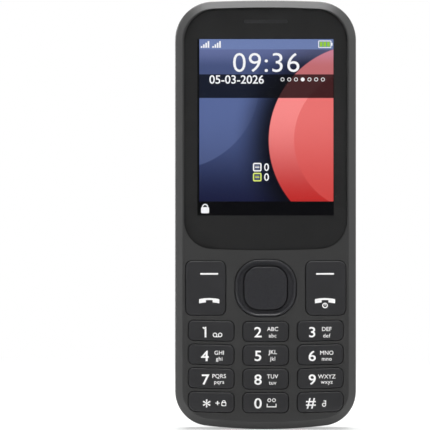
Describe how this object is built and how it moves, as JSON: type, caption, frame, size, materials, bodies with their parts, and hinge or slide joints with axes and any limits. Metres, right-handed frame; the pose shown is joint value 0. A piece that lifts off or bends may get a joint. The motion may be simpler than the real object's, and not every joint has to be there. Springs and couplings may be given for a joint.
{
  "type": "mobile phone",
  "caption": "Bar-shaped keypad phone with a colour screen, number keys, a navigation key between rocker keys, and a plain rear cover that comes off.",
  "frame": {"origin": "middle of the bottom end, where the phone stands on it, halfway through its thickness", "axes": "+Z along the body towards the earpiece, +X to the right of the screen, the screen faces -Y"},
  "size_m": [0.0564, 0.0136, 0.134],
  "materials": {
    "housing_plastic": "satin, fine-grained",
    "cover_plastic": "soft matte",
    "key_plastic": "satin",
    "nav_plastic": "semi-gloss",
    "window_clear": "clear, polished",
    "tape_black": "black print",
    "lcd_glass": "lit picture",
    "lcd_white": "white reflector",
    "foam": "foam",
    "film": "amber film",
    "dome_film": "milky film",
    "mesh_steel": "blackened mesh",
    "speaker_metal": "black",
    "silicone": "translucent grey",
    "board_green": "solder mask",
    "led_white": "yellow phosphor",
    "can_steel": "tinned",
    "socket_black": "black",
    "usb_steel": "nickel",
    "chassis_plastic": "black",
    "battery_wrap": "satin wrap",
    "antenna_gold": "gold plated",
    "screw_steel": "blackened",
    "torch_clear": "clear"
  },
  "bodies": {
    "phone_body": {"front_housing": "housing_plastic", "display_window": "window_clear", "window_tape": "tape_black", "earpiece_mesh": "mesh_steel", "earpiece_speaker": "speaker_metal", "lcd_gasket": "foam", "lcd_panel": "lcd_glass", "lcd_frame": "lcd_white", "lcd_flex": "film", "keypad_mat": "silicone", "dome_sheet": "dome_film", "key_lights": "led_white", "main_board": "board_green", "radio_shield_can": "can_steel", "processor_shield_can": "can_steel", "first_sim_socket": "can_steel", "second_sim_socket": "can_steel", "memory_card_socket": "can_steel", "usb_socket": "usb_steel", "headphone_socket": "socket_black", "microphone": "can_steel", "microphone_boot": "foam", "rear_chassis": "chassis_plastic", "battery": "battery_wrap", "battery_contacts": "socket_black", "loudspeaker": "speaker_metal", "loudspeaker_gasket": "foam", "vibration_motor": "can_steel", "antenna": "antenna_gold", "torch_led": "led_white", "housing_screws": "screw_steel"},
    "rear_cover_body": {"rear_cover": "cover_plastic", "torch_lens": "torch_clear", "cover_mesh": "mesh_steel"},
    "left_rocker_body": {"left_rocker_key": "key_plastic"},
    "right_rocker_body": {"right_rocker_key": "key_plastic"},
    "nav_collar_body": {"nav_collar": "silicone"},
    "nav_ring_body": {"nav_ring": "nav_plastic"},
    "ok_key_body": {"ok_key": "nav_plastic"},
    "key_1_body": {"key_1": "key_plastic"},
    "key_2_body": {"key_2": "key_plastic"},
    "key_3_body": {"key_3": "key_plastic"},
    "key_4_body": {"key_4": "key_plastic"},
    "key_5_body": {"key_5": "key_plastic"},
    "key_6_body": {"key_6": "key_plastic"},
    "key_7_body": {"key_7": "key_plastic"},
    "key_8_body": {"key_8": "key_plastic"},
    "key_9_body": {"key_9": "key_plastic"},
    "key_star_body": {"key_star": "key_plastic"},
    "key_0_body": {"key_0": "key_plastic"},
    "key_hash_body": {"key_hash": "key_plastic"}
  },
  "joints": [
    {"name": "key_1_press", "type": "slide", "parent": "phone_body", "child": "key_1_body", "axis": [0, 1, 0], "range_m": [0, 0.0004], "stiffness_N_per_m": 500},
    {"name": "key_2_press", "type": "slide", "parent": "phone_body", "child": "key_2_body", "axis": [0, 1, 0], "range_m": [0, 0.0004], "stiffness_N_per_m": 500},
    {"name": "key_3_press", "type": "slide", "parent": "phone_body", "child": "key_3_body", "axis": [0, 1, 0], "range_m": [0, 0.0004], "stiffness_N_per_m": 500},
    {"name": "key_4_press", "type": "slide", "parent": "phone_body", "child": "key_4_body", "axis": [0, 1, 0], "range_m": [0, 0.0004], "stiffness_N_per_m": 500},
    {"name": "key_5_press", "type": "slide", "parent": "phone_body", "child": "key_5_body", "axis": [0, 1, 0], "range_m": [0, 0.0004], "stiffness_N_per_m": 500},
    {"name": "key_6_press", "type": "slide", "parent": "phone_body", "child": "key_6_body", "axis": [0, 1, 0], "range_m": [0, 0.0004], "stiffness_N_per_m": 500},
    {"name": "key_7_press", "type": "slide", "parent": "phone_body", "child": "key_7_body", "axis": [0, 1, 0], "range_m": [0, 0.0004], "stiffness_N_per_m": 500},
    {"name": "key_8_press", "type": "slide", "parent": "phone_body", "child": "key_8_body", "axis": [0, 1, 0], "range_m": [0, 0.0004], "stiffness_N_per_m": 500},
    {"name": "key_9_press", "type": "slide", "parent": "phone_body", "child": "key_9_body", "axis": [0, 1, 0], "range_m": [0, 0.0004], "stiffness_N_per_m": 500},
    {"name": "key_star_press", "type": "slide", "parent": "phone_body", "child": "key_star_body", "axis": [0, 1, 0], "range_m": [0, 0.0004], "stiffness_N_per_m": 500},
    {"name": "key_0_press", "type": "slide", "parent": "phone_body", "child": "key_0_body", "axis": [0, 1, 0], "range_m": [0, 0.0004], "stiffness_N_per_m": 500},
    {"name": "key_hash_press", "type": "slide", "parent": "phone_body", "child": "key_hash_body", "axis": [0, 1, 0], "range_m": [0, 0.0004], "stiffness_N_per_m": 500},
    {"name": "ok_press", "type": "slide", "parent": "phone_body", "child": "ok_key_body", "axis": [0, 1, 0], "range_m": [0, 0.0004], "stiffness_N_per_m": 500},
    {"name": "left_rocker_tilt", "type": "hinge", "parent": "phone_body", "child": "left_rocker_body", "pos_m": [-0.01872, -0.0039, 0.04415], "axis": [1, 0, 0], "range_deg": [-2, 2], "stiffness_Nm_per_rad": 0.2},
    {"name": "right_rocker_tilt", "type": "hinge", "parent": "phone_body", "child": "right_rocker_body", "pos_m": [0.01872, -0.0039, 0.04415], "axis": [1, 0, 0], "range_deg": [-2, 2], "stiffness_Nm_per_rad": 0.2},
    {"name": "nav_tilt_up_down", "type": "hinge", "parent": "phone_body", "child": "nav_collar_body", "pos_m": [0, -0.0036, 0.04415], "axis": [1, 0, 0], "range_deg": [-1.6, 1.6], "stiffness_Nm_per_rad": 0.25},
    {"name": "nav_tilt_left_right", "type": "hinge", "parent": "nav_collar_body", "child": "nav_ring_body", "pos_m": [0, -0.0039, 0.04415], "axis": [0, 0, 1], "range_deg": [-1.6, 1.6], "stiffness_Nm_per_rad": 0.25},
    {"name": "rear_cover_off", "type": "slide", "parent": "phone_body", "child": "rear_cover_body", "axis": [0, 1, 0], "range_m": [0, 0.03]}
  ]
}
